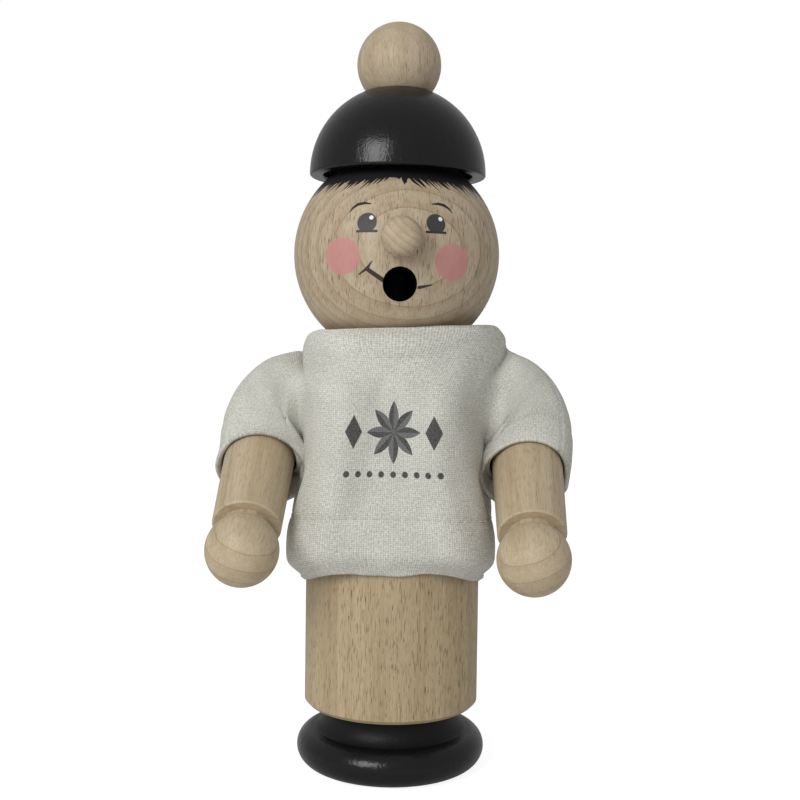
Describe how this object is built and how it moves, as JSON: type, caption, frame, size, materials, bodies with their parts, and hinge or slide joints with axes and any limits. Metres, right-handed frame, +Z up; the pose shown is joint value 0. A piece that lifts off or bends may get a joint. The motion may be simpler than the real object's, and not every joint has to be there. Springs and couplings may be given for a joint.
{
  "type": "incense smoker figure",
  "caption": "Turned wooden incense smoker: a round-headed man in a cloth shirt and black cap; his upper half lifts off a burner tray and smoke leaves by his round mouth.",
  "frame": {"origin": "centre of the foot's flat underside", "axes": "+Z up along the turned body's axis, -Y the way the shoulders face, +X the figure's own left"},
  "size_m": [0.0874, 0.0646, 0.1811],
  "materials": {
    "beech": "bare sanded beech",
    "face_beech": "bare sanded beech with a painted face",
    "black_lacquer": "black satin lacquer on wood",
    "brass": "pressed brass, smoke-stained",
    "steel": "bright wire nail",
    "incense": "pressed charcoal and resin powder, matte",
    "shirt_cloth": "cream cotton twill"
  },
  "bodies": {
    "stand": {"base_foot": "black_lacquer", "foot_dowel": "beech", "legs": "beech", "incense_tray": "brass", "tray_nails": "steel"},
    "cone": {"incense_cone": "incense"},
    "upper_half": {"torso": "beech", "head": "face_beech", "nose": "beech", "cap": "black_lacquer", "cap_dowel": "beech", "cap_ball": "beech", "shirt_body": "shirt_cloth"},
    "left_arm": {"left_arm": "beech", "left_shoulder_peg": "beech", "left_sleeve": "shirt_cloth"},
    "right_arm": {"right_arm": "beech", "right_shoulder_peg": "beech", "right_sleeve": "shirt_cloth"}
  },
  "joints": [
    {"name": "upper_half_lift", "type": "slide", "parent": "stand", "child": "upper_half", "axis": [0, 0, 1], "range_m": [0, 0.06]},
    {"name": "cone_lift", "type": "slide", "parent": "stand", "child": "cone", "axis": [0, 0, 1], "range_m": [0, 0.01]},
    {"name": "left_arm_swing", "type": "hinge", "parent": "upper_half", "child": "left_arm", "pos_m": [0.0323, 0, 0.0795], "axis": [-1, 0, 0], "range_deg": [-32, 42]},
    {"name": "right_arm_swing", "type": "hinge", "parent": "upper_half", "child": "right_arm", "pos_m": [-0.0323, 0, 0.0795], "axis": [-1, 0, 0], "range_deg": [-34, 40]}
  ]
}
